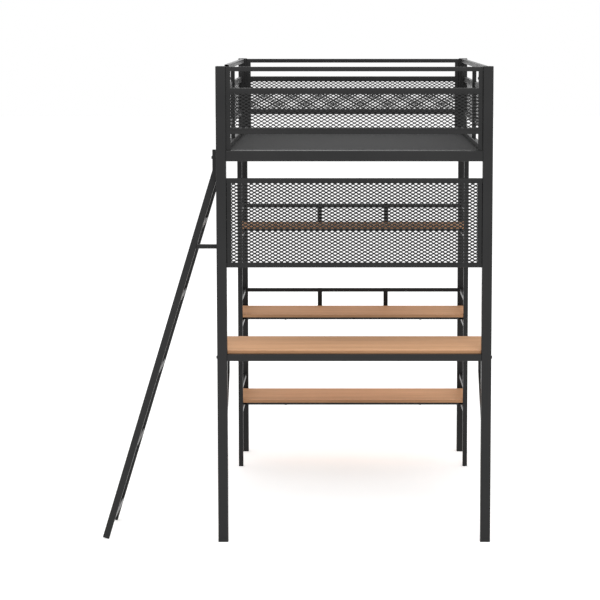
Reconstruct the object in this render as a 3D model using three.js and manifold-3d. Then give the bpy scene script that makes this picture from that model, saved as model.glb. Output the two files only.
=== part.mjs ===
// Loft bed with a desk at one end, three shelves at the other and a ladder on its left side.
// Millimetres, +Z up. X runs across the bed and Y along it: the desk end faces -Y and the ladder
// stands on the -X side. The origin is on the floor, under the middle of the whole object's box.
import * as THREE from 'three';
import { mergeVertices } from 'three/addons/utils/BufferGeometryUtils.js';
import Module from 'manifold-3d';

const wasm = await Module();
wasm.setup();

// ---- Driving dimensions ----

// Whole bed
const bedWidth = 1040;
const bedLength = 1980;
const bedHeight = 1811;
const contactGap = 0.3;
const plugClearance = 0.5;

// Square posts with a plastic cap on top and a plastic foot below
const postSize = 38;
const postWall = 1.5;
const capThickness = 2.5;
const footThickness = 3;
const plugDepth = 14;

// Deck: end beams, side rails, boards and the bearers under them
const deckDrop = 314;
const deckRailHeight = 41;
const sideRailWidth = 20;
const deckRecess = 22;
const deckThickness = 12;
const deckPanels = 3;
const panelSeam = 1;
const ledgeWidth = 20;
const ledgeThickness = 2;
const bearerSize = 20;
const bearerNotch = 2;

// Guards round the deck
const guardDrop = 2;
const guardTube = 17;
const guardWall = 1.2;
const guardPanelDrop = 79;
const guardPanelHeight = 172;
const guardRailHeight = 23;
const sidePanelSet = 9;
const sidePanelDepth = 12;
const ladderEntry = 480;
const meshThickness = 1.5;
const meshOverlap = 9;

// Mesh panel between the desk-end posts, under the deck
const privacyDrop = 105;
const privacyHeight = 337;
const privacyTube = 18;

// Desk
const deskTop = 737.5;
const deskDepth = 400;
const deskTongue = 19;
const deskRailHeight = 26;
const deskRailWidth = 20;
const deskBackInset = 20;
const boardThickness = 12;
const boardInset = 10;
const boardClearance = 0.5;
const braceSize = 20;
const braceInset = 29.5;
const braceDrop = 93.2;
const braceAngle = 39.5;

// Shelves, each standing at its share of the height under the deck rails
const shelfBay = 410;
const uprightSize = 20;
const tubeWall = 1.5;
const shelfSetback = 2;
const shelfFrameHeight = 8.5;
const shelfFrameWidth = 20;
const shelfFrameWall = 1;
const shelfBackMargin = 25;
const sideBarHeight = 16;
const lowerBarDrop = 40;
const topShelfDepth = 243;
const shelves = [
  { name: 'low', share: 0.206, barRise: 66, gallery: false },
  { name: 'middle', share: 0.4698, barRise: 77, gallery: true },
  { name: 'top', share: 0.7411, barRise: 77, gallery: true },
];
const galleryTube = 16;
const galleryBarSpacing = 302;
const galleryBarWidth = 20;
const galleryBarThickness = 3;
const galleryBarRise = 1.5;

// Ladder
const ladderAngle = 17;
const ladderWidth = 370;
const ladderOffset = 55;
const ladderTube = 25;
const ladderHook = 79;
const rungHeight = 16;
const rungCount = 5;
const firstStep = 94.5;
const standoffDrop = 367;
const standoffTube = 16;

// Bolts
const boltShank = 6;
const boltHole = 7;
const boltHead = 12;
const boltHeadHeight = 3.5;
const boltGrip = 9;
const boltDrop = 29.5;
const endPlate = 3;

// ---- Places worked out from them ----

const sides = [{ name: 'left', sign: -1 }, { name: 'right', sign: 1 }];
const ends = [{ name: 'desk', sign: -1 }, { name: 'shelf', sign: 1 }];
const halfWidth = bedWidth / 2;
const halfLength = bedLength / 2;
const deskEnd = -halfLength;
const postInner = halfWidth - postSize;
const postBack = halfLength - postSize;
const sidePlane = halfWidth - postSize / 2;
const betweenPosts = postInner - contactGap;
const alongPosts = [-postBack + contactGap, postBack - contactGap];
const endTubeCentre = halfLength - postSize / 2;
const deckRailTop = bedHeight - deckDrop;
const deckRailBottom = deckRailTop - deckRailHeight;
const sideRailInner = sidePlane - sideRailWidth / 2;
const deckTop = deckRailTop - deckRecess;
const deckUnderside = deckTop - deckThickness;
const panelLength = (2 * (postBack - boardClearance) - (deckPanels - 1) * panelSeam) / deckPanels;
const panelPitch = panelLength + panelSeam;
const bearerPlaces = [-1, -0.5, 0.5, 1].map((share) => share * panelPitch);
const guardTop = bedHeight - guardDrop;
const guardPanelTop = guardTop - guardPanelDrop;
const guardPanelBottom = guardPanelTop - guardPanelHeight;
const privacyTop = deckRailTop - privacyDrop;
const privacyBottom = privacyTop - privacyHeight;
const boardHalf = halfWidth - boardInset;
const deskUnderside = deskTop - boardThickness;
const deskFrameTop = deskUnderside - contactGap;
const deskFrameBottom = deskFrameTop - deskRailHeight;
const deskFront = deskEnd + postSize + boardClearance;
const deskFrameBack = deskFront + deskDepth - deskBackInset;
const uprightFront = halfLength - shelfBay;
const shelfFront = uprightFront + shelfSetback;
const uprightInner = sidePlane - uprightSize / 2;
const shelfEdge = uprightInner - contactGap;
const shelfNotch = uprightFront + uprightSize + boardClearance;
const fullShelfDepth = postBack - shelfBackMargin - shelfFront;
const shelfTop = (shelf) => shelf.share * deckRailBottom;
const ladderLean = THREE.MathUtils.degToRad(ladderAngle);
const hookCentre = -(sidePlane + sideRailWidth / 2 + contactGap + ladderTube / 2);
const bendHeight = deckRailTop - ladderHook;
const stepRise = (deckRailTop - firstStep) / rungCount;
const ladderFoot = (ladderTube / 2) * Math.sin(ladderLean);
const ladderX = (height) => hookCentre - (bendHeight - height) * Math.tan(ladderLean);
const ladderRails = [
  { name: 'near', y: deskEnd + ladderOffset + ladderTube / 2 },
  { name: 'far', y: deskEnd + ladderOffset + ladderWidth - ladderTube / 2 },
];
const ladderBoltHeight = deckRailTop - boltDrop;
const deskBoltHeight = deskFrameTop - deskRailHeight / 2;

// ---- Solids ----

const centred = (centre, size) => [centre - size / 2, centre + size / 2];
const onSide = (sign, inner, outer) => (sign < 0 ? [-outer, -inner] : [inner, outer]);

function toSolid(geometry) {
  geometry.deleteAttribute('normal');
  geometry.deleteAttribute('uv');
  const merged = mergeVertices(geometry, 1e-4);
  return new wasm.Manifold(new wasm.Mesh({
    numProp: 3,
    vertProperties: new Float32Array(merged.getAttribute('position').array),
    triVerts: new Uint32Array(merged.getIndex().array),
  }));
}

function toGeometry(solid) {
  const { vertProperties, triVerts } = solid.getMesh();
  const geometry = new THREE.BufferGeometry();
  geometry.setAttribute('position', new THREE.BufferAttribute(vertProperties, 3));
  geometry.setIndex(new THREE.BufferAttribute(triVerts, 1));
  geometry.computeVertexNormals();
  return geometry;
}

const union = (solids) => solids.reduce((joined, solid) => joined.add(solid));

function block([x0, x1], [y0, y1], [z0, z1]) {
  const geometry = new THREE.BoxGeometry(x1 - x0, y1 - y0, z1 - z0);
  geometry.translate((x0 + x1) / 2, (y0 + y1) / 2, (z0 + z1) / 2);
  return toSolid(geometry);
}

// A round rod along X.
function rodAcross([x0, x1], y, z, diameter) {
  const geometry = new THREE.CylinderGeometry(diameter / 2, diameter / 2, x1 - x0, 16);
  geometry.rotateZ(Math.PI / 2);
  geometry.translate((x0 + x1) / 2, y, z);
  return toSolid(geometry);
}

// A rectangular tube is its outside and a bore that runs out through both ends. Where the tube
// meets another, the bore breaks through that one's near wall, so a welded frame is hollow all
// through and open at its ends.
const boreReach = 1;

function tube(axis, x, y, z, wall) {
  const ranges = [x, y, z];
  const along = 'xyz'.indexOf(axis);
  const bore = ranges.map(([low, high], index) => (
    index === along
      ? [low - wall - boreReach, high + wall + boreReach]
      : [low + wall, high - wall]
  ));
  return { outside: block(...ranges), bore: block(...bore) };
}

function weld(tubes, plates = []) {
  const outside = union(tubes.map((member) => member.outside));
  const hollow = outside.subtract(union(tubes.map((member) => member.bore)));
  return union([hollow, ...plates]);
}

// The line beside a path at a set distance, mitred at its corners.
function besidePath(path, distance) {
  return path.map((point, index) => {
    const start = path[Math.max(index - 1, 0)];
    const end = path[Math.min(index + 1, path.length - 1)];
    const arriving = point.clone().sub(start);
    const leaving = end.clone().sub(point);
    const first = (index > 0 ? arriving : leaving).clone().normalize();
    const second = (index < path.length - 1 ? leaving : arriving).clone().normalize();
    const normal = new THREE.Vector2(-first.y, first.x);
    const miter = normal.clone().add(new THREE.Vector2(-second.y, second.x)).normalize();
    return point.clone().addScaledVector(miter, distance / miter.dot(normal));
  });
}

const sectionPlanes = {
  xz: { basis: [[1, 0, 0], [0, 0, 1], [0, -1, 0]], start: ([, high]) => [0, high, 0] },
  yz: { basis: [[0, 1, 0], [0, 0, 1], [1, 0, 0]], start: ([low]) => [low, 0, 0] },
};

function bentBar(path, width, plane, [low, high]) {
  const outline = [...besidePath(path, width / 2), ...besidePath(path, -width / 2).reverse()];
  const settings = { depth: high - low, bevelEnabled: false };
  const geometry = new THREE.ExtrudeGeometry(new THREE.Shape(outline), settings);
  const { basis, start } = sectionPlanes[plane];
  const axes = basis.map((axis) => new THREE.Vector3(...axis));
  geometry.applyMatrix4(new THREE.Matrix4().makeBasis(...axes));
  geometry.translate(...start([low, high]));
  return toSolid(geometry);
}

// A square tube bent at the corners of a path that lies in one plane.
function bentTube(path, size, wall, plane, [low, high]) {
  const points = path.map(([a, b]) => new THREE.Vector2(a, b));
  const last = points.length - 1;
  const inner = points.map((point) => point.clone());
  inner[0].add(points[0].clone().sub(points[1]).setLength(boreReach));
  inner[last].add(points[last].clone().sub(points[last - 1]).setLength(boreReach));
  const bore = bentBar(inner, size - 2 * wall, plane, [low + wall, high - wall]);
  return bentBar(points, size, plane, [low, high]).subtract(bore);
}

// ---- Finishes ----

const finishes = {
  steel: { color: 0x3a3a3b, roughness: 0.55, metalness: 0.1 },
  mesh: { color: 0x38383a, roughness: 0.6, metalness: 0.1 },
  wood: { color: 0xc79b7a, roughness: 0.6, metalness: 0 },
  deck: { color: 0x4a4a4b, roughness: 0.8, metalness: 0 },
  plastic: { color: 0x2a2a2b, roughness: 0.6, metalness: 0 },
  bolt: { color: 0x303032, roughness: 0.4, metalness: 0.7 },
};

const bed = new THREE.Group();

function add(name, finish, solid) {
  const mesh = new THREE.Mesh(toGeometry(solid), new THREE.MeshStandardMaterial(finishes[finish]));
  mesh.name = name;
  bed.add(mesh);
  return mesh;
}

// ---- Posts ----

// A plastic end plug: a flat head as wide as the tube and a stem that fills its bore.
function endPlug(size, wall, thickness) {
  const stem = size - 2 * wall - plugClearance;
  return union([
    block(centred(0, size), centred(0, size), [0, thickness]),
    block(centred(0, stem), centred(0, stem), [thickness / 2, thickness + plugDepth]),
  ]);
}

function addPost(end, side) {
  const x = onSide(side.sign, postInner, halfWidth);
  const y = onSide(end.sign, postBack, halfLength);
  const z = [footThickness + contactGap, bedHeight - capThickness - contactGap];
  const centre = [(x[0] + x[1]) / 2, (y[0] + y[1]) / 2];
  const hole = rodAcross([x[0] - 1, x[1] + 1], centre[1], deskBoltHeight, boltHole);
  const post = weld([tube('z', x, y, z, postWall)]);
  add(`post_${end.name}_${side.name}`, 'steel', end.sign < 0 ? post.subtract(hole) : post);

  const foot = add(`post_foot_${end.name}_${side.name}`, 'plastic',
    endPlug(postSize, postWall, footThickness));
  foot.position.set(centre[0], centre[1], 0);
  const cap = add(`post_cap_${end.name}_${side.name}`, 'plastic',
    endPlug(postSize, postWall, capThickness));
  cap.position.set(centre[0], centre[1], bedHeight);
  cap.rotation.x = Math.PI;
}

for (const end of ends) {
  for (const side of sides) {
    addPost(end, side);
  }
}

// ---- Deck ----

const deckRailZ = [deckRailBottom, deckRailTop];
const ledgeZ = [deckUnderside - contactGap - ledgeThickness, deckUnderside - contactGap];
const ledgeEdge = sideRailInner - ledgeWidth;

function addEndBeam(end) {
  const y = onSide(end.sign, postBack, halfLength);
  const x = [-betweenPosts, betweenPosts];
  const ledgeY = onSide(end.sign, postBack - ledgeWidth, postBack + postWall / 2);
  const ledge = block([-ledgeEdge + contactGap, ledgeEdge - contactGap], ledgeY, ledgeZ);
  add(`end_beam_${end.name}`, 'steel', weld([tube('x', x, y, deckRailZ, postWall)], [ledge]));
}

function addSideRail(side) {
  const x = onSide(side.sign, sideRailInner, sidePlane + sideRailWidth / 2);
  const ledgeX = onSide(side.sign, ledgeEdge, sideRailInner + tubeWall / 2);
  const notches = bearerPlaces.map((y) => (
    block(onSide(side.sign, ledgeEdge - 1, sideRailInner - contactGap),
      centred(y, bearerSize + 2 * bearerNotch), centred(ledgeZ[0], 4 * ledgeThickness))
  ));
  const ledge = block(ledgeX, alongPosts, ledgeZ).subtract(union(notches));
  const rail = weld([tube('y', x, alongPosts, deckRailZ, tubeWall)], [ledge]);
  const outerWall = onSide(side.sign, sidePlane, sidePlane + sideRailWidth);
  const holes = ladderRails.map(({ y }) => rodAcross(outerWall, y, ladderBoltHeight, boltHole));
  add(`side_rail_${side.name}`, 'steel', side.sign < 0 ? rail.subtract(union(holes)) : rail);
}

ends.forEach(addEndBeam);
sides.forEach(addSideRail);

// Four cross tubes lie under the board joints and the end boards' middles, with a spine between.
const bearerZ = [ledgeZ[1] - bearerSize, ledgeZ[1]];
const bearerX = [-sideRailInner + contactGap, sideRailInner - contactGap];
const spineY = [bearerPlaces[0], bearerPlaces[bearerPlaces.length - 1]];
add('deck_bearers', 'steel', weld([
  ...bearerPlaces.map((y) => tube('x', bearerX, centred(y, bearerSize), bearerZ, tubeWall)),
  tube('y', centred(0, bearerSize), spineY, bearerZ, tubeWall),
]));

for (let index = 0; index < deckPanels; index += 1) {
  const start = -postBack + boardClearance + index * panelPitch;
  const x = [-sideRailInner + boardClearance, sideRailInner - boardClearance];
  const board = block(x, [start, start + panelLength], [deckUnderside, deckTop]);
  add(`deck_panel_${index + 1}`, 'deck', board);
}

// ---- Guards ----

const guardTopZ = [guardTop - guardTube, guardTop];
const guardRails = [
  [guardPanelTop - guardRailHeight, guardPanelTop],
  [guardPanelBottom, guardPanelBottom + guardRailHeight],
];
const stileZ = [deckRailTop + contactGap, guardTop - guardTube / 2];
const meshZ = [
  guardPanelBottom + guardRailHeight - meshOverlap,
  guardPanelTop - guardRailHeight + meshOverlap,
];

function addEndGuard(end) {
  const y = onSide(end.sign, endTubeCentre - guardTube / 2, endTubeCentre + guardTube / 2);
  const x = [-betweenPosts, betweenPosts];
  const betweenStiles = [-betweenPosts + guardTube / 2, betweenPosts - guardTube / 2];
  const stiles = sides.map((side) => (
    tube('z', onSide(side.sign, betweenPosts - guardTube, betweenPosts), y, stileZ, guardWall)
  ));
  const rails = guardRails.map((z) => tube('x', betweenStiles, y, z, guardWall));
  const frame = weld([tube('x', x, y, guardTopZ, guardWall), ...stiles, ...rails]);
  add(`end_guard_${end.name}`, 'steel', frame);

  const face = endTubeCentre + guardTube / 2 + contactGap;
  const reach = betweenPosts - guardTube + meshOverlap;
  const sheet = block([-reach, reach], onSide(end.sign, face, face + meshThickness), meshZ);
  add(`end_mesh_${end.name}`, 'mesh', sheet);
}

// A side panel's rails are set outwards, so the guard's bars stand in front of them on the inside.
function addSideGuard(side) {
  const inner = sidePlane - guardTube / 2;
  const x = onSide(side.sign, inner, inner + guardTube);
  const railX = onSide(side.sign, inner + sidePanelSet, inner + sidePanelSet + sidePanelDepth);
  const start = side.sign < 0 ? deskEnd + ladderEntry : alongPosts[0];
  const y = [start, alongPosts[1]];
  const bars = [y[0] + guardTube / 2, 0, y[1] - guardTube / 2];
  const betweenBars = [bars[0], bars[2]];
  const frame = weld([
    tube('y', x, y, guardTopZ, guardWall),
    ...bars.map((place) => tube('z', x, centred(place, guardTube), stileZ, guardWall)),
    ...guardRails.map((z) => tube('y', railX, betweenBars, z, guardWall)),
  ]);
  add(`side_guard_${side.name}`, 'steel', frame);

  const face = inner + sidePanelSet + sidePanelDepth + contactGap;
  const reach = guardTube - meshOverlap;
  const sheet = block(onSide(side.sign, face, face + meshThickness),
    [y[0] + reach, y[1] - reach], meshZ);
  add(`side_mesh_${side.name}`, 'mesh', sheet);
}

ends.forEach(addEndGuard);
sides.forEach(addSideGuard);

// ---- Mesh panel under the deck ----

const privacyY = centred(-endTubeCentre, privacyTube);
add('privacy_frame', 'steel', weld([
  tube('x', [-betweenPosts, betweenPosts], privacyY, [privacyTop - privacyTube, privacyTop], guardWall),
  tube('x', [-betweenPosts, betweenPosts], privacyY,
    [privacyBottom, privacyBottom + privacyTube], guardWall),
  ...sides.map((side) => tube('z', onSide(side.sign, betweenPosts - privacyTube, betweenPosts),
    privacyY, [privacyBottom + privacyTube / 2, privacyTop - privacyTube / 2], guardWall)),
]));
const privacyReach = betweenPosts - privacyTube + meshOverlap;
const privacyInset = privacyTube - meshOverlap;
const privacyFace = privacyY[0] - contactGap;
add('privacy_mesh', 'mesh', block([-privacyReach, privacyReach],
  [privacyFace - meshThickness, privacyFace],
  [privacyBottom + privacyInset, privacyTop - privacyInset]));

// ---- Desk ----

// Between the posts, the board reaches forward over the front rail.
const deskZ = [deskUnderside, deskTop];
const tongueX = [-postInner + boardClearance, postInner - boardClearance];
const tongue = block(tongueX, [deskFront - deskTongue, deskFront + deskTongue], deskZ);
const deskPanel = block([-boardHalf, boardHalf], [deskFront, deskFront + deskDepth], deskZ);
add('desk_board', 'wood', union([deskPanel, tongue]));

// The front rail sits between the posts, welded to a cross rail behind them that carries the
// two side rails and the back rail. A plate closes each end of the front rail round its bolt.
const deskFrameZ = [deskFrameBottom, deskFrameTop];
const crossY = [-postBack + contactGap, -postBack + contactGap + deskRailWidth];
const deskBackY = [deskFrameBack - deskRailWidth, deskFrameBack];
const deskSideX = [sidePlane - deskRailWidth / 2, sidePlane + deskRailWidth / 2];
const deskSideY = [(crossY[0] + crossY[1]) / 2, deskBackY[1]];
const deskFrameTubes = [
  tube('x', [-betweenPosts, betweenPosts], [deskEnd, crossY[0] + tubeWall / 2],
    deskFrameZ, tubeWall),
  tube('x', [-deskSideX[1], deskSideX[1]], crossY, deskFrameZ, tubeWall),
  tube('x', [-sidePlane, sidePlane], deskBackY, deskFrameZ, tubeWall),
  ...sides.map((side) => (
    tube('y', onSide(side.sign, ...deskSideX), deskSideY, deskFrameZ, tubeWall)
  )),
];
const deskBoltY = deskEnd + postSize / 2;
const deskEndPlates = sides.map((side) => (
  block(onSide(side.sign, betweenPosts - endPlate, betweenPosts),
    [deskEnd + tubeWall / 2, crossY[0]],
    [deskFrameBottom + tubeWall / 2, deskFrameTop - tubeWall / 2])
    .subtract(rodAcross(onSide(side.sign, betweenPosts - 2 * endPlate, halfWidth),
      deskBoltY, deskBoltHeight, boltHole))
));
add('desk_frame', 'steel', weld(deskFrameTubes, deskEndPlates));

// Each brace drops from the side rail, turns at its knee and runs down to the back of the post.
function addDeskBrace(side) {
  const y = deskFrameBack - braceInset - braceSize / 2;
  const run = y + postBack;
  const knee = deskFrameBottom - braceDrop;
  const foot = knee - (run + braceSize) * Math.tan(THREE.MathUtils.degToRad(braceAngle));
  const path = [
    [y, deskFrameBottom - contactGap],
    [y, knee],
    [y - run - braceSize, foot],
  ];
  const x = onSide(side.sign, sidePlane - braceSize / 2, sidePlane + braceSize / 2);
  const brace = bentTube(path, braceSize, tubeWall, 'yz', x);
  const post = block(centred(0, 2 * bedWidth), [2 * deskEnd, -postBack + contactGap], [0, bedHeight]);
  add(`desk_brace_${side.name}`, 'steel', brace.subtract(post));
}

sides.forEach(addDeskBrace);

// ---- Shelves ----

const barWall = 1.2;
const barX = (side) => onSide(side.sign, uprightInner, uprightInner + uprightSize);

function addShelfSide(side) {
  const x = barX(side);
  const y = [uprightFront, uprightFront + uprightSize];
  const z = [footThickness + contactGap, deckRailBottom - contactGap];
  const barY = [uprightFront + uprightSize / 2, postBack - contactGap];
  const tops = shelves.flatMap((shelf) => (
    [shelfTop(shelf) + shelf.barRise, shelfTop(shelf) - lowerBarDrop]
  ));
  const bars = tops.map((top) => tube('y', x, barY, [top - sideBarHeight, top], barWall));
  add(`shelf_side_${side.name}`, 'steel', weld([tube('z', x, y, z, tubeWall), ...bars]));

  const foot = add(`shelf_foot_${side.name}`, 'plastic',
    endPlug(uprightSize, tubeWall, footThickness));
  foot.position.set((x[0] + x[1]) / 2, (y[0] + y[1]) / 2, 0);
}

// A board is notched at its front corners, where it passes between the uprights.
function addShelf(shelf) {
  const { name, barRise, gallery } = shelf;
  const top = shelfTop(shelf);
  const depth = name === 'top' ? topShelfDepth : fullShelfDepth;
  const underside = top - boardThickness;
  const frameZ = [underside - contactGap - shelfFrameHeight, underside - contactGap];
  const boardZ = [underside, top];
  const lip = block([-shelfEdge, shelfEdge], [shelfFront, 2 * shelfNotch - shelfFront], boardZ);
  const panel = block([-boardHalf, boardHalf], [shelfNotch, shelfFront + depth], boardZ);
  add(`shelf_board_${name}`, 'wood', union([panel, lip]));

  const back = shelfFront + depth + shelfBackMargin - contactGap;
  const width = shelfFrameWidth;
  const sideY = [shelfFront, postBack - contactGap];
  add(`shelf_frame_${name}`, 'steel', weld([
    tube('x', [-shelfEdge, shelfEdge], [shelfFront, shelfFront + width], frameZ, shelfFrameWall),
    tube('x', [-shelfEdge + width / 2, shelfEdge - width / 2], [back - width, back], frameZ,
      shelfFrameWall),
    ...sides.map((side) => tube('y', onSide(side.sign, shelfEdge - width, shelfEdge),
      sideY, frameZ, shelfFrameWall)),
  ]));

  if (gallery) {
    addGallery(name, top + barRise, back + contactGap, frameZ[0]);
  }
}

// A rail behind the shelf, on two flat bars that stand against the shelf frame's back. It reaches
// the posts where it stands between them, and the side bars where the shelf is shallower.
function addGallery(name, top, front, bottom) {
  const railFront = front + galleryBarThickness;
  const atPosts = railFront + galleryTube > postBack;
  const edge = (atPosts ? postInner : uprightInner) - contactGap;
  const railY = [railFront, railFront + galleryTube];
  const rail = tube('x', [-edge, edge], railY, [top - galleryTube, top], barWall);
  const bars = sides.map((side) => (
    block(centred(side.sign * galleryBarSpacing / 2, galleryBarWidth),
      [front, railFront + barWall / 2], [bottom, top + galleryBarRise])
  ));
  const keepClear = block([-edge, edge], railY, [top, top + 2 * galleryBarRise]);
  add(`gallery_${name}`, 'steel', weld([rail], bars.map((bar) => bar.subtract(keepClear))));
}

sides.forEach(addShelfSide);
shelves.forEach(addShelf);

// ---- Ladder ----

const footPoint = [ladderX(ladderFoot), ladderFoot];
const alongLadder = ([x, z], distance) => (
  [x + distance * Math.sin(ladderLean), z + distance * Math.cos(ladderLean)]
);

function addLadderRail({ name, y }) {
  const path = [
    [hookCentre, deckRailTop],
    [hookCentre, bendHeight],
    alongLadder(footPoint, capThickness + contactGap),
  ];
  const rail = bentTube(path, ladderTube, tubeWall, 'xz', centred(y, ladderTube));
  const hole = rodAcross(centred(hookCentre, 2 * ladderTube), y, ladderBoltHeight, boltHole);
  add(`ladder_rail_${name}`, 'steel', rail.subtract(hole));

  const cap = add(`ladder_foot_${name}`, 'plastic', endPlug(ladderTube, tubeWall, capThickness));
  cap.position.set(footPoint[0], y, footPoint[1]);
  cap.rotation.y = ladderLean;
}

ladderRails.forEach(addLadderRail);

const rungY = [
  ladderRails[0].y + ladderTube / 2 + contactGap,
  ladderRails[1].y - ladderTube / 2 - contactGap,
];
for (let step = 1; step <= rungCount; step += 1) {
  const top = firstStep + (step - 1) * stepRise;
  const x = centred(ladderX(top - rungHeight / 2), ladderTube);
  add(`ladder_rung_${step}`, 'steel', weld([tube('y', x, rungY, [top - rungHeight, top], barWall)]));
}

// The stand-off holds the near rail away from the desk-end post: a bar in line with the rail,
// with a block at its inner end that reaches forward to the back of the post.
const standoffZ = centred(deckRailTop - standoffDrop, standoffTube);
const standoffY = centred(ladderRails[0].y, standoffTube);
const railHalf = ladderTube / 2 / Math.cos(ladderLean);
const standoffStart = ladderX(standoffZ[0]) + railHalf;
const standoffBar = tube('x', [standoffStart, -postInner], standoffY, standoffZ, barWall);
const standoffBlock = block([-halfWidth, -postInner], [-postBack + contactGap,
  standoffY[0] + barWall / 2], standoffZ);
const railCut = bentBar([
  new THREE.Vector2(hookCentre, bendHeight),
  new THREE.Vector2(...footPoint),
], ladderTube + 2 * contactGap, 'xz', centred(ladderRails[0].y, 2 * ladderTube));
add('ladder_standoff', 'steel', weld([standoffBar], [standoffBlock]).subtract(railCut));

// ---- Bolts ----

// A bolt lies along X: its head against the outer face, its shank reaching inwards.
function addBolt(name, sign, face, y, z, length) {
  const head = face + contactGap + boltHeadHeight;
  add(name, 'bolt', union([
    rodAcross(onSide(sign, face + contactGap, head), y, z, boltHead),
    rodAcross(onSide(sign, face - length, face + contactGap + boltHeadHeight / 2), y, z, boltShank),
  ]));
}

for (const { name, y } of ladderRails) {
  const face = -hookCentre + ladderTube / 2;
  addBolt(`ladder_bolt_${name}`, -1, face, y, ladderBoltHeight, ladderTube + boltGrip);
}
for (const { name, sign } of sides) {
  addBolt(`desk_bolt_${name}`, sign, halfWidth, deskBoltY, deskBoltHeight, postSize + boltGrip);
}

// ---- The origin, on the floor under the middle of the object's box ----

const model = new THREE.Group();
model.add(bed);
model.updateMatrixWorld(true);
const box = new THREE.Box3().setFromObject(bed, true);
const middle = box.getCenter(new THREE.Vector3());
bed.position.set(-middle.x, -middle.y, -box.min.z);

export default model;
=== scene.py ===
# %% [markdown]
# # A loft bed with a desk
#
# The bed is a welded steel frame. A deck of boards lies high up inside low guards, a desk hangs
# between the posts at one end, three shelves fill the other end, and a ladder leans on the left.
# The design already exists as a frame of solids in their true places, so every size here is
# taken from that frame. What this lesson adds is what a maker would see and touch: rounded tube
# corners, expanded mesh, wood grain, moulded plugs and screws.

# %% Load the frame
import math

import bmesh
import bpy
from mathutils import Matrix, Vector


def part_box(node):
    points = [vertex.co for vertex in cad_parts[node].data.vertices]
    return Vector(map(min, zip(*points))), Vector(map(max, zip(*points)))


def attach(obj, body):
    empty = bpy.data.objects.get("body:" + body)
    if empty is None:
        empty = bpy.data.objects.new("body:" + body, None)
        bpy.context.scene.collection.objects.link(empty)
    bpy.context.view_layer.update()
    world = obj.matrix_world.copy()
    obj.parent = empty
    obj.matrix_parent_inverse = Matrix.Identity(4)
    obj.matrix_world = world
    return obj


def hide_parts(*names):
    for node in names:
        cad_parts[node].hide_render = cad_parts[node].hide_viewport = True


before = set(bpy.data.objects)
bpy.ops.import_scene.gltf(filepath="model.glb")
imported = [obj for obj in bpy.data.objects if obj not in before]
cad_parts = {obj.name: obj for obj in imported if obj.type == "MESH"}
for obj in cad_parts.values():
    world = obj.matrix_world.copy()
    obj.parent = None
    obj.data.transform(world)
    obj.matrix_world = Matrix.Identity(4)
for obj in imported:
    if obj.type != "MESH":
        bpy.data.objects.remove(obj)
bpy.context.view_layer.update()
print("nodes in the frame:", len(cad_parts))

# %% [markdown]
# ## The camera
#
# The view is from the desk end, square to the bed and a little above it, through a long lens
# from about nine metres away. A long lens keeps the posts nearly parallel. The picture is
# taken slightly off the optical axis, as a product picture often is, and the lens shift
# repeats that.

# %% Camera
CAMERA_PLACE = (0.1885, -9.935, 1.974)
CAMERA_TILT_DOWN = 7.18
LENS_LENGTH = 142.98
LENS_SHIFT = (-0.0757, 0.0375)

bpy.ops.object.camera_add(
    location=CAMERA_PLACE,
    rotation=(math.radians(90 - CAMERA_TILT_DOWN), 0, 0),
)
camera = bpy.context.object
camera.data.lens = LENS_LENGTH
camera.data.sensor_width = 36
camera.data.shift_x, camera.data.shift_y = LENS_SHIFT
bpy.context.scene.camera = camera
print("camera stands", round(-CAMERA_PLACE[1], 2), "m in front of the bed's middle")

# %% [markdown]
# ## The studio
#
# A pale floor and a white surround give the flat, even light of a product studio. The floor
# glows a little, like a lit sheet, which keeps shadows faint. One wide soft lamp stands high
# in front and a weaker one behind: their light slips in under the deck, and so reaches the
# desk and the shelves.

# %% Floor, surround and lamps
FLOOR_SIZE = 80
FLOOR_TONE = 0.72
FLOOR_GLOW = 0.42
LAMP_TARGET = (0.2, 0, 0.8)
LAMP_SIZE = 4
FRONT_LAMP_POWER = 420
BACK_LAMP_POWER = 90


def soft_lamp(name, place, power):
    """Adds a square lamp that faces the middle of the bed."""
    direction = Vector(LAMP_TARGET) - Vector(place)
    turn = direction.to_track_quat("-Z", "Y").to_euler()
    bpy.ops.object.light_add(type="AREA", location=place, rotation=turn)
    lamp = bpy.context.object
    lamp.name = name
    lamp.data.size = LAMP_SIZE
    lamp.data.energy = power
    return lamp


bpy.ops.mesh.primitive_plane_add(size=FLOOR_SIZE, location=(0, 0, 0))
floor = bpy.context.object
floor.name = "studio_floor"
floor_paint = bpy.data.materials.new("studio_floor_paint")
floor_paint.use_nodes = True
floor_shader = floor_paint.node_tree.nodes["Principled BSDF"]
floor_shader.inputs["Base Color"].default_value = (FLOOR_TONE, FLOOR_TONE, FLOOR_TONE, 1)
floor_shader.inputs["Emission Color"].default_value = (1, 1, 1, 1)
floor_shader.inputs["Emission Strength"].default_value = FLOOR_GLOW
floor_shader.inputs["Roughness"].default_value = 0.9
floor_shader.inputs["Specular IOR Level"].default_value = 0.1
floor.data.materials.append(floor_paint)

surround = bpy.data.worlds.new("studio_surround")
surround.use_nodes = True
background = surround.node_tree.nodes["Background"]
background.inputs["Color"].default_value = (1, 1, 1, 1)
background.inputs["Strength"].default_value = 1.0
bpy.context.scene.world = surround
bpy.context.scene.view_settings.view_transform = "Standard"

lamps = [
    soft_lamp("front_lamp", (0.8, -6.8, 5.6), FRONT_LAMP_POWER),
    soft_lamp("back_lamp", (-1.5, 6.5, 6.0), BACK_LAMP_POWER),
]
print("lamps:", [lamp.name for lamp in lamps])

# %% [markdown]
# ## Small helpers for working by hand in code
#
# A person clicks on what to change. A script has to say it: first nothing is selected, then
# the faces or edges that pass a test are. These helpers do that in edit mode, so each
# operator that follows acts only on what was meant. A smoothed piece also gets weighted
# normals, which keep its wide faces flat right up to a rounded corner.

# %% Selection helpers
NEARLY_ALONG = 0.99
SIDE_SMOOTHING = 35
HEAD_SMOOTHING = 40
PLUG_SMOOTHING = 25


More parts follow.
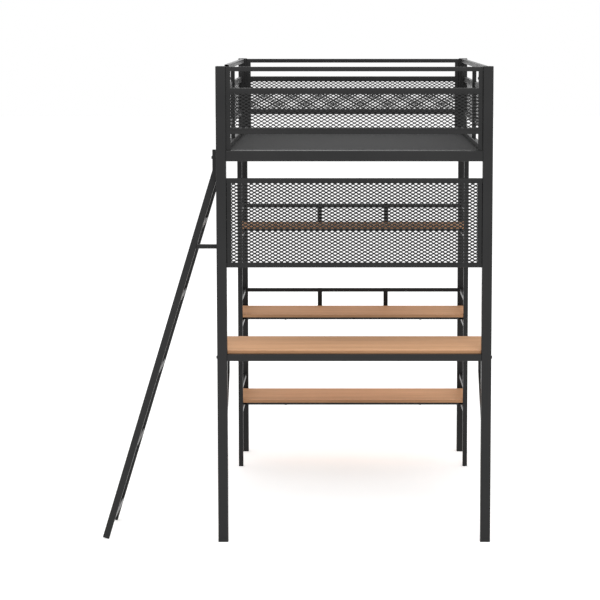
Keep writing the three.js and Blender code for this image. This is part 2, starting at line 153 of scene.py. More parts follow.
def only_this(piece):
    """Leaves one piece selected and active."""
    bpy.ops.object.select_all(action="DESELECT")
    piece.select_set(True)
    bpy.context.view_layer.objects.active = piece


def pick_faces(piece, test):
    """In edit mode, selects the faces that pass a test."""
    bpy.ops.mesh.select_mode(type="FACE")
    bpy.ops.mesh.select_all(action="DESELECT")
    shape = bmesh.from_edit_mesh(piece.data)
    for face in shape.faces:
        face.select_set(test(face))
    bmesh.update_edit_mesh(piece.data)


def pick_edges(piece, test):
    """In edit mode, selects the edges that pass a test."""
    bpy.ops.mesh.select_mode(type="EDGE")
    bpy.ops.mesh.select_all(action="DESELECT")
    shape = bmesh.from_edit_mesh(piece.data)
    for edge in shape.edges:
        edge.select_set(test(edge))
    bmesh.update_edit_mesh(piece.data)


def faces_towards(direction):
    """A test for faces that point in a direction."""
    return lambda face: face.normal.dot(Vector(direction)) > NEARLY_ALONG


def edges_along(direction):
    """A test for edges that run in a direction, either way."""
    def test(edge):
        run = (edge.verts[1].co - edge.verts[0].co).normalized()
        return abs(run.dot(Vector(direction))) > NEARLY_ALONG
    return test


def smooth_sides(piece, angle=SIDE_SMOOTHING):
    """Shades round sides smooth, and leaves wide faces flat and real corners sharp."""
    only_this(piece)
    bpy.ops.object.shade_smooth_by_angle(angle=math.radians(angle))
    bpy.ops.object.modifier_add(type="WEIGHTED_NORMAL")
    weighting = piece.modifiers[-1]
    weighting.keep_sharp = True
    weighting.weight = 100
    bpy.ops.object.modifier_apply(modifier=weighting.name)


# %% [markdown]
# A box is where most furniture parts start. It is added between two corners, and its place
# and size are then put into the mesh itself, so that the object stays at the origin.

# %% Boxes and finished pieces
def start_box(name, low, high):
    """Adds a cube stretched between two corners, with its place kept in its mesh."""
    bpy.ops.object.select_all(action="DESELECT")
    low, high = Vector(low), Vector(high)
    bpy.ops.mesh.primitive_cube_add(size=1, location=(low + high) / 2, scale=high - low)
    bpy.ops.object.transform_apply(location=True, rotation=True, scale=True)
    piece = bpy.context.object
    piece.name = name
    return piece


def finish_piece(piece, slot, paint, *nodes):
    """Gives a piece its finish, and lets it ride on the bed in place of CAD nodes."""
    piece.data.materials.clear()
    piece.data.materials.append(paint)
    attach(piece, "root")
    if nodes:
        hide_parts(*nodes)
    return piece


def copied_piece(source, name, placing):
    """Copies a finished shape with its own mesh, moved by a matrix inside that mesh."""
    twin = bpy.data.objects.new(name, source.data.copy())
    bpy.context.scene.collection.objects.link(twin)
    twin.data.transform(placing)
    return twin


# %% [markdown]
# ## Finishes as node groups
#
# Powder coat, moulded plastic and board foil all have a fine uneven skin, only at different
# scales, and all are a little uneven in tone. Each of those effects is built once as a node
# group. The material then chooses how coarse and how strong it is.

# %% Node helpers
def add_node(tree, kind, **settings):
    """Adds a node. A setting is a property if the node has one of that name, else an input."""
    node = tree.nodes.new(kind)
    for key, value in settings.items():
        if hasattr(node, key):
            setattr(node, key, value)
        else:
            node.inputs[key.replace("_", " ").title()].default_value = value
    return node


def new_group(name, inputs, outputs):
    """Starts a shader node group with named inputs and outputs."""
    tree = bpy.data.node_groups.new(name, "ShaderNodeTree")
    for label, kind, value in inputs:
        socket = tree.interface.new_socket(name=label, in_out="INPUT", socket_type=kind)
        socket.default_value = value
    for label, kind in outputs:
        tree.interface.new_socket(name=label, in_out="OUTPUT", socket_type=kind)
    return tree, tree.nodes.new("NodeGroupInput"), tree.nodes.new("NodeGroupOutput")


NUMBER = "NodeSocketFloat"
COLOUR = "NodeSocketColor"

# %% Fine skin: the dimpled surface of a coating or a moulding
fine_skin, given, result = new_group(
    "fine_skin",
    [("Scale", NUMBER, 900.0), ("Softness", NUMBER, 0.5)],
    [("Height", NUMBER)],
)
place = add_node(fine_skin, "ShaderNodeTexCoord")
dimples = add_node(fine_skin, "ShaderNodeTexNoise", detail=2.0)
fine_skin.links.new(place.outputs["Object"], dimples.inputs["Vector"])
fine_skin.links.new(given.outputs["Scale"], dimples.inputs["Scale"])
fine_skin.links.new(given.outputs["Softness"], dimples.inputs["Roughness"])
fine_skin.links.new(dimples.outputs["Fac"], result.inputs["Height"])

# %% Uneven tone: slow changes from batch, handling and dust
uneven_tone, given, result = new_group(
    "uneven_tone",
    [("Scale", NUMBER, 5.0), ("Dark", COLOUR, (0, 0, 0, 1)), ("Light", COLOUR, (1, 1, 1, 1)),
     ("Smooth", NUMBER, 0.4), ("Rough", NUMBER, 0.6)],
    [("Color", COLOUR), ("Roughness", NUMBER)],
)
place = add_node(uneven_tone, "ShaderNodeTexCoord")
clouds = add_node(uneven_tone, "ShaderNodeTexNoise", detail=4.0)
blend = add_node(uneven_tone, "ShaderNodeMix", data_type="RGBA")
spread = add_node(uneven_tone, "ShaderNodeMapRange", from_min=0.3, from_max=0.7)
for start, end in (
    (place.outputs["Object"], clouds.inputs["Vector"]),
    (given.outputs["Scale"], clouds.inputs["Scale"]),
    (clouds.outputs["Fac"], blend.inputs["Factor"]),
    (given.outputs["Dark"], blend.inputs[6]),
    (given.outputs["Light"], blend.inputs[7]),
    (blend.outputs[2], result.inputs["Color"]),
    (clouds.outputs["Fac"], spread.inputs["Value"]),
    (given.outputs["Smooth"], spread.inputs["To Min"]),
    (given.outputs["Rough"], spread.inputs["To Max"]),
    (spread.outputs["Result"], result.inputs["Roughness"]),
):
    uneven_tone.links.new(start, end)
print("groups so far:", [group.name for group in bpy.data.node_groups])

# %% [markdown]
# ## Coated and moulded materials
#
# The steel is charcoal powder coat: satin, not metallic, because the colour hides the metal.
# Its skin is dimpled at about a millimetre. The deck boards are duller, the plastic plugs
# blacker, and the screws are black oxide, which still shines as metal does.

# %% A material from the two groups
def coated_material(name, dark, light, smooth, rough, skin_scale, skin_depth, **shader_values):
    """A surface with uneven tone and a fine skin. Colours are linear red, green and blue."""
    paint = bpy.data.materials.new(name)
    paint.use_nodes = True
    tree = paint.node_tree
    shader = tree.nodes["Principled BSDF"]
    tone = add_node(tree, "ShaderNodeGroup", node_tree=uneven_tone)
    tone.inputs["Dark"].default_value = (*dark, 1)
    tone.inputs["Light"].default_value = (*light, 1)
    tone.inputs["Smooth"].default_value = smooth
    tone.inputs["Rough"].default_value = rough
    skin = add_node(tree, "ShaderNodeGroup", node_tree=fine_skin)
    skin.inputs["Scale"].default_value = skin_scale
    bump = add_node(tree, "ShaderNodeBump", strength=0.6, distance=skin_depth)
    tree.links.new(tone.outputs["Color"], shader.inputs["Base Color"])
    tree.links.new(tone.outputs["Roughness"], shader.inputs["Roughness"])
    tree.links.new(skin.outputs["Height"], bump.inputs["Height"])
    tree.links.new(bump.outputs["Normal"], shader.inputs["Normal"])
    for socket, value in shader_values.items():
        shader.inputs[socket.replace("_", " ")].default_value = value
    return paint


powder_coat = coated_material(
    "charcoal_powder_coat", (0.0085, 0.0085, 0.0087), (0.0125, 0.0125, 0.0127),
    0.3, 0.38, 900, 0.00008, Specular_IOR_Level=0.2)
mesh_coat = coated_material(
    "charcoal_mesh_coat", (0.008, 0.008, 0.0082), (0.0115, 0.0115, 0.0117),
    0.3, 0.4, 1100, 0.00006, Specular_IOR_Level=0.2)
deck_foil = coated_material(
    "charcoal_deck_foil", (0.06, 0.06, 0.0605), (0.064, 0.064, 0.0645),
    0.85, 0.9, 1500, 0.00015, Specular_IOR_Level=0.01)
black_plastic = coated_material(
    "black_moulded_plastic", (0.008, 0.008, 0.0082), (0.012, 0.012, 0.0122),
    0.45, 0.6, 1800, 0.00008, Specular_IOR_Level=0.2)
black_oxide = coated_material(
    "black_oxide_steel", (0.03, 0.03, 0.031), (0.06, 0.06, 0.062),
    0.3, 0.45, 2500, 0.00004, Metallic=0.9)
print("materials:", [paint.name for paint in bpy.data.materials])

# %% [markdown]
# ## Wood-grain board
#
# The desk and shelves are board faced with a printed oak-brown grain that runs across the
# bed. Grain is noise stretched a long way in one direction: broad soft bands set the tone,
# narrow streaks cross them, and short dark pores lie on top. Every face that stands up gets
# a darker copy of the same pattern, which is painted shade: those faces catch less light
# than the top.

# %% Wood grain group
wood_grain, given, result = new_group(
    "wood_grain",
    [("Light", COLOUR, (0.7, 0.4, 0.25, 1)), ("Dark", COLOUR, (0.45, 0.25, 0.14, 1)),
     ("Pore", COLOUR, (0.25, 0.13, 0.07, 1)), ("Fineness", NUMBER, 1.0)],
    [("Color", COLOUR), ("Height", NUMBER)],
)
place = add_node(wood_grain, "ShaderNodeTexCoord")


def stretched_noise(stretch, detail):
    """Noise drawn out along the grain, which runs along X."""
    mapping = add_node(wood_grain, "ShaderNodeMapping")
    mapping.inputs["Scale"].default_value = stretch
    noise = add_node(wood_grain, "ShaderNodeTexNoise", detail=detail)
    noise.inputs["Distortion"].default_value = 0.3
    wood_grain.links.new(place.outputs["Object"], mapping.inputs["Vector"])
    wood_grain.links.new(mapping.outputs["Vector"], noise.inputs["Vector"])
    wood_grain.links.new(given.outputs["Fineness"], noise.inputs["Scale"])
    return noise


bands = stretched_noise((1.2, 16, 16), 3)
streaks = stretched_noise((5, 150, 150), 4)
pores = stretched_noise((26, 620, 620), 2)

two_scales = add_node(wood_grain, "ShaderNodeMix", data_type="FLOAT")
two_scales.inputs["Factor"].default_value = 0.55
tone_range = add_node(wood_grain, "ShaderNodeMapRange", from_min=0.36, from_max=0.64)
tone = add_node(wood_grain, "ShaderNodeMix", data_type="RGBA")
pore_mask = add_node(wood_grain, "ShaderNodeMapRange", from_min=0.6, from_max=0.74, to_max=0.55)
with_pores = add_node(wood_grain, "ShaderNodeMix", data_type="RGBA")
for start, end in (
    (bands.outputs["Fac"], two_scales.inputs["A"]),
    (streaks.outputs["Fac"], two_scales.inputs["B"]),
    (two_scales.outputs["Result"], tone_range.inputs["Value"]),
    (tone_range.outputs["Result"], tone.inputs["Factor"]),
    (given.outputs["Light"], tone.inputs[6]),
    (given.outputs["Dark"], tone.inputs[7]),
    (pores.outputs["Fac"], pore_mask.inputs["Value"]),
    (pore_mask.outputs["Result"], with_pores.inputs["Factor"]),
    (tone.outputs[2], with_pores.inputs[6]),
    (given.outputs["Pore"], with_pores.inputs[7]),
    (with_pores.outputs[2], result.inputs["Color"]),
    (pores.outputs["Fac"], result.inputs["Height"]),
):
    wood_grain.links.new(start, end)


def wood_material(name, light, dark, pore, fineness):
    """A wood-grain foil. Colours are linear red, green and blue."""
    paint = bpy.data.materials.new(name)
    paint.use_nodes = True
    tree = paint.node_tree
    shader = tree.nodes["Principled BSDF"]
    grain = add_node(tree, "ShaderNodeGroup", node_tree=wood_grain)
    for label, colour in (("Light", light), ("Dark", dark), ("Pore", pore)):
        grain.inputs[label].default_value = (*colour, 1)
    grain.inputs["Fineness"].default_value = fineness
    bump = add_node(tree, "ShaderNodeBump", strength=0.25, distance=0.0002)
    bump.invert = True
    tree.links.new(grain.outputs["Color"], shader.inputs["Base Color"])
    tree.links.new(grain.outputs["Height"], bump.inputs["Height"])
    tree.links.new(bump.outputs["Normal"], shader.inputs["Normal"])
    shader.inputs["Roughness"].default_value = 0.6
    shader.inputs["Specular IOR Level"].default_value = 0.03
    return paint


board_face = wood_material(
    "board_face_grain", (0.66, 0.375, 0.21), (0.53, 0.292, 0.157), (0.33, 0.17, 0.09), 1.0)
# Painted shade: a darker copy of the grain for the faces that stand up, which catch less light
# than the top.
board_side_shade = wood_material(
    "board_side_painted_shade", (0.36, 0.2, 0.108), (0.28, 0.15, 0.08), (0.17, 0.085, 0.045), 1.4)
print("wood materials:", board_face.name, board_side_shade.name)

# %% [markdown]
# ## Desk and shelf boards
#
# A board is a flat panel with its sharp edges just broken, so that its edges catch a
# thin line of light. The boards are notched round posts and uprights, so each starts as a copy
# of its solid, whose loose triangles are redrawn as few large ones. Its real edges get a
# small bevel, and then every face that doesn't point up or down takes the darker grain,
# which is painted shade.

# %% Wooden boards
BOARD_EDGE_RADIUS = 0.0008
FLAT_ENOUGH = 0.7
WELD_DISTANCE = 0.00002
FLAT_ANGLE = math.radians(0.5)
CORNER_ANGLE = math.radians(60)


def merged_copy(node, name):
    """Copies a CAD solid, redraws its flat faces with few triangles, and stays in edit mode."""
    piece = bpy.data.objects.new(name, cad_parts[node].data.copy())
    bpy.context.scene.collection.objects.link(piece)
    only_this(piece)
    bpy.ops.mesh.customdata_custom_splitnormals_clear()
    bpy.ops.object.mode_set(mode="EDIT")
    bpy.ops.mesh.select_all(action="SELECT")
    bpy.ops.mesh.remove_doubles(threshold=WELD_DISTANCE)
    bpy.ops.mesh.dissolve_limited(angle_limit=FLAT_ANGLE)
    bpy.ops.mesh.quads_convert_to_tris()
    return piece


def wooden_board(node):
    """Models a board in place of its CAD solid."""
    board = merged_copy(node, f"{node}_laminate")
    pick_edges(board, lambda edge: edge.calc_face_angle() > CORNER_ANGLE)
    bpy.ops.mesh.bevel(offset=BOARD_EDGE_RADIUS, segments=2)
    bpy.ops.object.mode_set(mode="OBJECT")
    smooth_sides(board)
    finish_piece(board, "wood", board_face, node)
    # The faces that stand up take the darker grain, which is painted shade.
    board.data.materials.append(board_side_shade)
    for face in board.data.polygons:
        face.material_index = 0 if abs(face.normal.z) > FLAT_ENOUGH else 1
    return board


SHELF_NAMES = ("low", "middle", "top")
boards = [wooden_board("desk_board")]
boards += [wooden_board(f"shelf_board_{name}") for name in SHELF_NAMES]
print("boards:", [board.name for board in boards])

# %% [markdown]
# ## Deck boards
#
# Three charcoal boards lie side by side on the ledges inside the rails. Their edges are
# softened a little more, which draws the fine seams between them.

# %% Deck boards
DECK_EDGE_RADIUS = 0.0012


def deck_board(node):
    """Models one deck board in place of its CAD solid."""
    board = start_box(f"{node}_board", *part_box(node))
    only_this(board)
    bpy.ops.object.mode_set(mode="EDIT")
    bpy.ops.mesh.select_all(action="SELECT")
    bpy.ops.mesh.bevel(offset=DECK_EDGE_RADIUS, segments=2)
    bpy.ops.object.mode_set(mode="OBJECT")
    smooth_sides(board)
    return finish_piece(board, "deck", deck_foil, node)


deck = [deck_board(f"deck_panel_{number}") for number in (1, 2, 3)]
print("deck boards:", len(deck))

# %% [markdown]
# ## Straight square tubes: posts and rungs
#
# Square tube is rolled from strip, so its four long corners are round. A post starts as a
# box. Its long edges are bevelled, its two end faces are inset by the wall and then bridged
# to each other, and the bridge becomes the bore.

# %% Posts and rungs
POST_CORNER = 0.003
POST_WALL = 0.0015
RUNG_CORNER = 0.002
RUNG_WALL = 0.0012
ENDS = ("desk", "shelf")
SIDES = ("left", "right")
POST_PLACES = [f"{end}_{side}" for end in ENDS for side in SIDES]


def hollow_tube(node, axis, corner, wall):
    """Models a straight square tube in place of its CAD solid."""
    tube = start_box(f"{node}_tube", *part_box(node))
    only_this(tube)
    run = Vector(axis)
    bpy.ops.object.mode_set(mode="EDIT")
    pick_edges(tube, edges_along(run))
    bpy.ops.mesh.bevel(offset=corner, segments=4)
    pick_faces(tube, lambda face: abs(face.normal.dot(run)) > NEARLY_ALONG)
    bpy.ops.mesh.inset(thickness=wall, use_even_offset=True)
    bpy.ops.mesh.bridge_edge_loops()
    bpy.ops.object.mode_set(mode="OBJECT")
    smooth_sides(tube)
    return finish_piece(tube, "steel", powder_coat, node)


posts = [
    hollow_tube(f"post_{place}", (0, 0, 1), POST_CORNER, POST_WALL) for place in POST_PLACES
]
rungs = [
    hollow_tube(f"ladder_rung_{step}", (0, 1, 0), RUNG_CORNER, RUNG_WALL)
    for step in range(1, 6)
]
print("posts:", len(posts), "rungs:", len(rungs))

# %% [markdown]
# ## Welded frames and bent rails
#
# The guards, desk frame, shelf frames and braces are many tubes welded into one piece, and the
# ladder rails are bent. Modelling each tube again would only repeat the frame, so here a copy
# of the solid is taken. Its flat faces are redrawn with few triangles, and then the long
# outside corners are rounded as the tube mill does. An edge counts if it is long, stands out
# rather than in, and has a wide face on both sides, so thin plates and tube ends stay crisp.

# %% Rounded copies of welded pieces
def outside_corner(radius, shortest):
    """A test for long outside edges between two faces wide enough to round."""
    def test(edge):
        if len(edge.link_faces) != 2 or not edge.is_convex:
            return False
        length = edge.calc_length()
        narrowest = min(2 * face.calc_area() for face in edge.link_faces) / length
        turned = edge.calc_face_angle() > CORNER_ANGLE
        return turned and length > shortest and narrowest > 3 * radius
    return test


def rounded_copy(node, radius, shortest, slot, paint, suffix):
    """Copies a CAD solid and rounds its long outside corners."""
    piece = merged_copy(node, f"{node}_{suffix}")
    pick_edges(piece, outside_corner(radius, shortest))
    bpy.ops.mesh.bevel(offset=radius, segments=3)
    bpy.ops.object.mode_set(mode="OBJECT")
    smooth_sides(piece)
    return finish_piece(piece, slot, paint, node)


LONG_EDGE = 0.03
FRAME_CORNERS = {
    "end_beam_desk": 0.003, "end_beam_shelf": 0.003,
    "side_rail_left": 0.002, "side_rail_right": 0.002,
    "deck_bearers": 0.002, "desk_frame": 0.002,
    "desk_brace_left": 0.002, "desk_brace_right": 0.002,
    "end_guard_desk": 0.0015, "end_guard_shelf": 0.0015,
    "side_guard_left": 0.0015, "side_guard_right": 0.0015,
    "privacy_frame": 0.0015, "shelf_side_left": 0.0015, "shelf_side_right": 0.0015,
    "shelf_frame_low": 0.001, "shelf_frame_middle": 0.001, "shelf_frame_top": 0.001,
    "gallery_middle": 0.0015, "gallery_top": 0.0015,
    "ladder_rail_near": 0.0025, "ladder_rail_far": 0.0025, "ladder_standoff": 0.0015,
}
frames = [
    rounded_copy(node, radius, LONG_EDGE, "steel", powder_coat, "steel")
    for node, radius in FRAME_CORNERS.items()
]
print("rounded steel pieces:", len(frames))

# %% [markdown]
# ## Expanded mesh
#
# Expanded steel is a sheet slit in staggered rows and pulled open, so it is one piece: every
# strand runs into the next and the holes are wide diamonds. One cell holds a whole hole in
# the middle and a quarter hole at each corner. It starts as a small plate. Diamond prisms are
# cut out with a Boolean modifier, the plate's own rim is removed, and two Array modifiers
# repeat the cell with its seams merged. The slit edges are pushed a little forward and back,
# which is how pulling the sheet open twists its strands.

# %% One mesh cell
CELL_WIDTH = 0.0225
CELL_HEIGHT = 0.0128
GUARD_HOLE = (0.0162, 0.0083)
PRIVACY_HOLE = (0.0142, 0.0073)
HOLE_CORNER = 0.002
STRAND_TWIST = 0.0001
SHEET_THICKNESS = 0.0003
RIM_REACH = 0.00001


def diamond_cutter(x, z, hole, depth):
    """A diamond prism along Y with its four long edges rounded."""
    bpy.ops.object.select_all(action="DESELECT")
    bpy.ops.mesh.primitive_cylinder_add(
        vertices=4, radius=1, depth=2 * depth, rotation=(math.pi / 2, 0, 0))
    cutter = bpy.context.object
    bpy.ops.object.transform_apply(location=True, rotation=True, scale=True)
    cutter.scale = (hole[0] / 2, 1, hole[1] / 2)
    cutter.location = (x, 0, z)
    bpy.ops.object.transform_apply(location=True, rotation=True, scale=True)
    bpy.ops.object.mode_set(mode="EDIT")
    pick_edges(cutter, edges_along((0, 1, 0)))
    bpy.ops.mesh.bevel(offset=HOLE_CORNER, segments=2)
    bpy.ops.object.mode_set(mode="OBJECT")
    return cutter


def cut_away(piece, cutter):
    """Cuts one piece out of another and removes the cutter."""
    only_this(piece)
    bpy.ops.object.modifier_add(type="BOOLEAN")
    cut = piece.modifiers[-1]
    cut.operation = "DIFFERENCE"
    cut.solver = "EXACT"
    cut.object = cutter
    bpy.ops.object.modifier_apply(modifier=cut.name)
    bpy.data.objects.remove(cutter)


def mesh_cell(hole, thickness):
    """One cell of expanded mesh, centred on the origin, lying in the XZ plane."""
    half_x, half_z = CELL_WIDTH / 2, CELL_HEIGHT / 2
    cell = start_box("mesh_cell", (-half_x, -thickness / 2, -half_z),
                     (half_x, thickness / 2, half_z))
    for x, z in ((0, 0), (half_x, half_z), (-half_x, half_z), (half_x, -half_z),
                 (-half_x, -half_z)):
        cut_away(cell, diamond_cutter(x, z, hole, thickness))
    only_this(cell)
    bpy.ops.object.mode_set(mode="EDIT")
    bpy.ops.mesh.select_all(action="SELECT")
    bpy.ops.mesh.remove_doubles(threshold=RIM_REACH)

    def on_rim(face):
        middle = face.calc_center_median()
        return abs(middle.x) > half_x - RIM_REACH or abs(middle.z) > half_z - RIM_REACH

    pick_faces(cell, on_rim)
    bpy.ops.mesh.delete(type="FACE")
    bpy.ops.object.mode_set(mode="OBJECT")
    return cell


def twist_strands(cell):
    """Moves the upper edge of each hole forward and the lower edge back."""
    for vertex in cell.data.vertices:
        wave = (math.sin(2 * math.pi * vertex.co.z / CELL_HEIGHT)
                * math.cos(2 * math.pi * vertex.co.x / CELL_WIDTH))
        vertex.co.y -= STRAND_TWIST * wave


guard_cell = mesh_cell(GUARD_HOLE, SHEET_THICKNESS)
privacy_cell = mesh_cell(PRIVACY_HOLE, SHEET_THICKNESS)
for cell in (guard_cell, privacy_cell):
    twist_strands(cell)
    print("faces in one mesh cell:", len(cell.data.polygons))

# %% [markdown]
# A panel is the cell repeated past its outline, then trimmed on four sides with bisect, which
# also closes the cut ends of the strands. The side panels are made lying across the bed like
# the end ones and are then turned a quarter turn.

# %% Mesh panels
def array_along(piece, direction, pitch, count):
    """Repeats a piece along X or Z and merges the seams."""
    only_this(piece)
    bpy.ops.object.modifier_add(type="ARRAY")
    row = piece.modifiers[-1]
    row.use_relative_offset = False
    row.use_constant_offset = True
    row.constant_offset_displace = Vector(direction) * pitch
    row.count = count
    row.use_merge_vertices = True
    row.merge_threshold = WELD_DISTANCE
    bpy.ops.object.modifier_apply(modifier=row.name)


def trim(point, outward):
    """Cuts off what lies past a plane, and closes the cut."""
    bpy.ops.mesh.select_all(action="SELECT")
    bpy.ops.mesh.bisect(plane_co=point, plane_no=outward, clear_outer=True, use_fill=True)


def mesh_panel(node, cell, sideways=False, offset=(0, 0)):
    """Models an expanded-mesh panel in place of its plain CAD sheet."""
    low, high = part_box(node)
    middle = (low + high) / 2
    size = high - low
    width = size.y if sideways else size.x
    panel = copied_piece(cell, f"{node}_lattice", Matrix.Identity(4))
    columns = math.ceil(width / CELL_WIDTH / 2) * 2 + 3
    rows = math.ceil(size.z / CELL_HEIGHT / 2) * 2 + 3
    array_along(panel, (1, 0, 0), CELL_WIDTH, columns)
    array_along(panel, (0, 0, 1), CELL_HEIGHT, rows)
    shift = (offset[0] - CELL_WIDTH * (columns - 1) / 2, 0,
             offset[1] - CELL_HEIGHT * (rows - 1) / 2)
    panel.data.transform(Matrix.Translation(shift))
    only_this(panel)
    bpy.ops.object.mode_set(mode="EDIT")
    for sign in (-1, 1):
        trim((sign * width / 2, 0, 0), (sign, 0, 0))
        trim((0, 0, sign * size.z / 2), (0, 0, sign))
    bpy.ops.object.mode_set(mode="OBJECT")
    if sideways:
        panel.data.transform(Matrix.Rotation(math.pi / 2, 4, "Z"))
    panel.data.transform(Matrix.Translation(middle))
    return finish_piece(panel, "mesh", mesh_coat, node)


panels = [
    mesh_panel("end_mesh_desk", guard_cell),
    mesh_panel("end_mesh_shelf", guard_cell, offset=(0.001, -0.0023)),
    mesh_panel("privacy_mesh", privacy_cell, offset=(-0.005, 0)),
    mesh_panel("side_mesh_left", guard_cell, sideways=True),
    mesh_panel("side_mesh_right", guard_cell, sideways=True),
]
bpy.data.objects.remove(guard_cell)
bpy.data.objects.remove(privacy_cell)
for panel in panels:
    print(panel.name, "faces:", len(panel.data.polygons))

# %% [markdown]
# ## Plastic plugs
#
# Each post ends in a moulded plug: a square head as wide as the tube and a stem pressed into
# the bore. The head is a box with rounded corners and a bevelled rim. A cap's outer face is
# raised into a low crown, a foot's stays flat, and the inner face is pulled out into the
# stem. The ladder's feet are rounded copies of their solids.

# %% Caps and feet
PLUG_WALL = 0.002
PLUG_STEM = 0.012
CROWN_INSET = 0.0018
CROWN_HEIGHT = 0.0004
PLUG_RIM = 0.0008


def tube_plug(node, head, outward):
    """Models an upright tube's plug. Outward is 1 for a cap and -1 for a foot."""
    low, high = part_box(node)
    if outward > 0:
        plug = start_box(f"{node}_moulding", (low.x, low.y, high.z - head), high)
    else:
        plug = start_box(f"{node}_moulding", low, (high.x, high.y, low.z + head))
    only_this(plug)
    bpy.ops.object.mode_set(mode="EDIT")
    pick_edges(plug, edges_along((0, 0, 1)))
    bpy.ops.mesh.bevel(offset=4 * PLUG_RIM, segments=4)
    pick_faces(plug, faces_towards((0, 0, outward)))
    bpy.ops.mesh.inset(thickness=PLUG_RIM)
    bpy.ops.transform.translate(value=(0, 0, outward * PLUG_RIM / 2))
    if outward > 0:
        bpy.ops.mesh.inset(thickness=CROWN_INSET)
        bpy.ops.transform.translate(value=(0, 0, CROWN_HEIGHT))
    pick_faces(plug, faces_towards((0, 0, -outward)))
    bpy.ops.mesh.inset(thickness=PLUG_WALL)
    bpy.ops.mesh.extrude_region_move(
        TRANSFORM_OT_translate={"value": (0, 0, -outward * PLUG_STEM)})
    bpy.ops.object.mode_set(mode="OBJECT")
    plug.data.transform(Matrix.Translation((0, 0, -outward * PLUG_RIM / 2)))
    smooth_sides(plug, PLUG_SMOOTHING)
    return finish_piece(plug, "plastic", black_plastic, node)


CAP_HEAD = 0.0025
FOOT_HEAD = 0.003
plugs = [tube_plug(f"post_cap_{place}", CAP_HEAD, 1) for place in POST_PLACES]
plugs += [tube_plug(f"post_foot_{place}", FOOT_HEAD, -1) for place in POST_PLACES]
plugs += [tube_plug(f"shelf_foot_{side}", FOOT_HEAD, -1) for side in SIDES]
plugs += [
    rounded_copy(f"ladder_foot_{rail}", 0.0006, 0.02, "plastic", black_plastic, "moulding")
    for rail in ("near", "far")
]
print("plugs:", len(plugs))

# %% [markdown]
# ## Hex-socket bolts
#
# The ladder and the desk are held by button-head bolts turned with a hex key. One bolt is
# modelled along +X: a disc whose rim is bevelled into the button shape, a six-sided prism
# cut into it for the key, and a shank pulled out of its inner face. The other three are
# copies, turned inside their own meshes.

# %% Bolts
HEAD_RADIUS = 0.006
HEAD_HEIGHT = 0.0035
SHANK_RADIUS = 0.003
KEY_RADIUS = 0.0023
KEY_DEPTH = 0.002
RIM_SHARE = 0.4


def button_head_bolt(shank_length):
    """A bolt along X, its head's inner face at the origin and its head towards +X."""
    bpy.ops.object.select_all(action="DESELECT")
    bpy.ops.mesh.primitive_cylinder_add(
        vertices=32, radius=HEAD_RADIUS, depth=HEAD_HEIGHT,
        location=(HEAD_HEIGHT / 2, 0, 0), rotation=(0, math.pi / 2, 0))
    bpy.ops.object.transform_apply(location=True, rotation=True, scale=True)
    bolt = bpy.context.object
    bpy.ops.object.mode_set(mode="EDIT")
    pick_faces(bolt, faces_towards((1, 0, 0)))
    bpy.ops.mesh.bevel(offset=RIM_SHARE * HEAD_HEIGHT, segments=5)
    pick_faces(bolt, faces_towards((-1, 0, 0)))
    bpy.ops.mesh.inset(thickness=HEAD_RADIUS - SHANK_RADIUS)
    bpy.ops.mesh.extrude_region_move(TRANSFORM_OT_translate={"value": (-shank_length, 0, 0)})
    bpy.ops.object.mode_set(mode="OBJECT")
    bpy.ops.object.select_all(action="DESELECT")
    bpy.ops.mesh.primitive_cylinder_add(
        vertices=6, radius=KEY_RADIUS, depth=2 * KEY_DEPTH,
        location=(HEAD_HEIGHT, 0, 0), rotation=(0, math.pi / 2, 0))
    key = bpy.context.object
    cut_away(bolt, key)
    smooth_sides(bolt, HEAD_SMOOTHING)
    return bolt


ladder_low, ladder_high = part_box("ladder_bolt_near")
bolt = button_head_bolt(ladder_high.x - ladder_low.x - HEAD_HEIGHT)
BOLT_SIDES = {"ladder_bolt_near": -1, "ladder_bolt_far": -1,
              "desk_bolt_left": -1, "desk_bolt_right": 1}
bolts = []
for node, sign in BOLT_SIDES.items():
    low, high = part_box(node)
    face = low.x + HEAD_HEIGHT if sign < 0 else high.x - HEAD_HEIGHT
    placing = Matrix.Translation((face, (low.y + high.y) / 2, (low.z + high.z) / 2))
    if sign < 0:
        placing = placing @ Matrix.Rotation(math.pi, 4, "Z")
    piece = copied_piece(bolt, f"{node}_hex", placing)
    bolts.append(finish_piece(piece, "bolt", black_oxide, node))
bpy.data.objects.remove(bolt)
print("bolts:", [piece.name for piece in bolts])

# %% [markdown]
# ## Shelf screws
#
# Four pan-head screws show under each shelf's frame, two under its front bar and two under
# its back one. A screw is a short disc with a rounded rim and a cross cut in it. One is
# modelled hanging from the origin, then copied to the four places and joined, so that each
# shelf has one piece of screws.

# %% Screws
SCREW_RADIUS = 0.0045
SCREW_HEAD = 0.0026
CROSS_LENGTH = 0.0048
CROSS_WIDTH = 0.0009
CROSS_DEPTH = 0.001
SCREW_SPREAD = 0.3
SCREW_ROW_SET_BACK = 0.01


def pan_head_screw():
    """A screw head hanging down from the origin."""
    bpy.ops.object.select_all(action="DESELECT")
    bpy.ops.mesh.primitive_cylinder_add(
        vertices=24, radius=SCREW_RADIUS, depth=SCREW_HEAD, location=(0, 0, -SCREW_HEAD / 2))
    bpy.ops.object.transform_apply(location=True, rotation=True, scale=True)
    screw = bpy.context.object
    bpy.ops.object.mode_set(mode="EDIT")
    pick_faces(screw, faces_towards((0, 0, -1)))
    bpy.ops.mesh.bevel(offset=RIM_SHARE * SCREW_HEAD, segments=3)
    bpy.ops.object.mode_set(mode="OBJECT")
    for long_x, long_y in ((CROSS_LENGTH, CROSS_WIDTH), (CROSS_WIDTH, CROSS_LENGTH)):
        cut_away(screw, start_box(
            "cross", (-long_x / 2, -long_y / 2, -2 * SCREW_HEAD),
            (long_x / 2, long_y / 2, CROSS_DEPTH - SCREW_HEAD)))
    smooth_sides(screw, HEAD_SMOOTHING)
    return screw


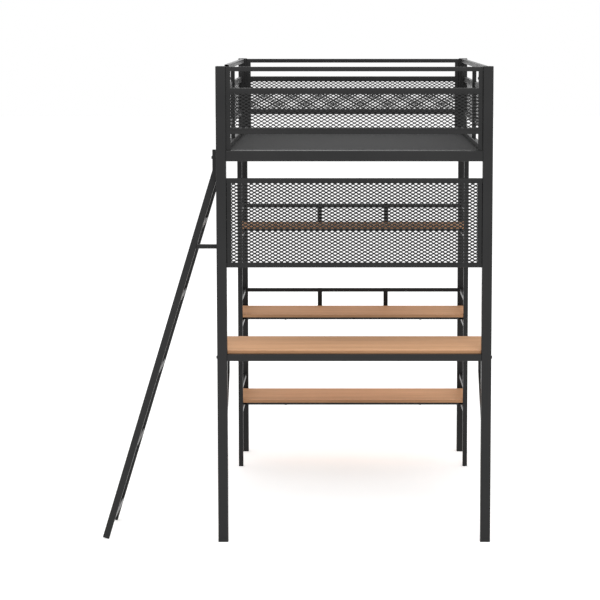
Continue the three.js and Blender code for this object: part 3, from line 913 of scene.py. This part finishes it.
def shelf_screws(name):
    """The four screws under one shelf, joined into a piece."""
    low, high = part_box(f"shelf_board_{name}")
    frame_low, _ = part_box(f"shelf_frame_{name}")
    middle = (low.x + high.x) / 2
    rows = (low.y + SCREW_ROW_SET_BACK, high.y + SCREW_ROW_SET_BACK)
    copies = [
        copied_piece(screw, f"screw_{index}", Matrix.Translation((x, y, frame_low.z)))
        for index, (x, y) in enumerate(
            (middle + sign * SCREW_SPREAD, y) for sign in (-1, 1) for y in rows)
    ]
    bpy.ops.object.select_all(action="DESELECT")
    for copy in copies:
        copy.select_set(True)
    bpy.context.view_layer.objects.active = copies[0]
    bpy.ops.object.join()
    copies[0].name = f"shelf_screws_{name}"
    return finish_piece(copies[0], "bolt", black_oxide)


screw = pan_head_screw()
screws = [shelf_screws(name) for name in SHELF_NAMES]
bpy.data.objects.remove(screw)
print("screws:", [piece.name for piece in screws])

# %% [markdown]
# ## Guard bolts
#
# Each end guard is bolted through its stiles into the posts. Only the low round heads show, on
# the inner faces of the stiles just under the top rail. A head is a disc with a bevelled rim,
# made facing -X, and its mirror place gets a copy turned half round.

# %% Guard bolts
GUARD_HEAD_RADIUS = 0.005
GUARD_HEAD_HEIGHT = 0.003
GUARD_BOLT_DROP = 0.043

bpy.ops.object.select_all(action="DESELECT")
bpy.ops.mesh.primitive_cylinder_add(
    vertices=24, radius=GUARD_HEAD_RADIUS, depth=GUARD_HEAD_HEIGHT,
    location=(-GUARD_HEAD_HEIGHT / 2, 0, 0), rotation=(0, math.pi / 2, 0))
bpy.ops.object.transform_apply(location=True, rotation=True, scale=True)
guard_head = bpy.context.object
bpy.ops.object.mode_set(mode="EDIT")
pick_faces(guard_head, faces_towards((-1, 0, 0)))
bpy.ops.mesh.bevel(offset=RIM_SHARE * GUARD_HEAD_HEIGHT, segments=3)
bpy.ops.object.mode_set(mode="OBJECT")
smooth_sides(guard_head, HEAD_SMOOTHING)

guard_heads = []
for end in ENDS:
    low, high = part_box(f"end_guard_{end}")
    tube_size = high.y - low.y
    inner_faces = (("left", low.x + tube_size, math.pi), ("right", high.x - tube_size, 0))
    for side, face, turn in inner_faces:
        placing = Matrix.Translation((face, (low.y + high.y) / 2, high.z - GUARD_BOLT_DROP))
        placing = placing @ Matrix.Rotation(turn, 4, "Z")
        head = copied_piece(guard_head, f"guard_bolt_{end}_{side}", placing)
        guard_heads.append(finish_piece(head, "bolt", black_oxide))
bpy.data.objects.remove(guard_head)
print("guard bolts:", [head.name for head in guard_heads])
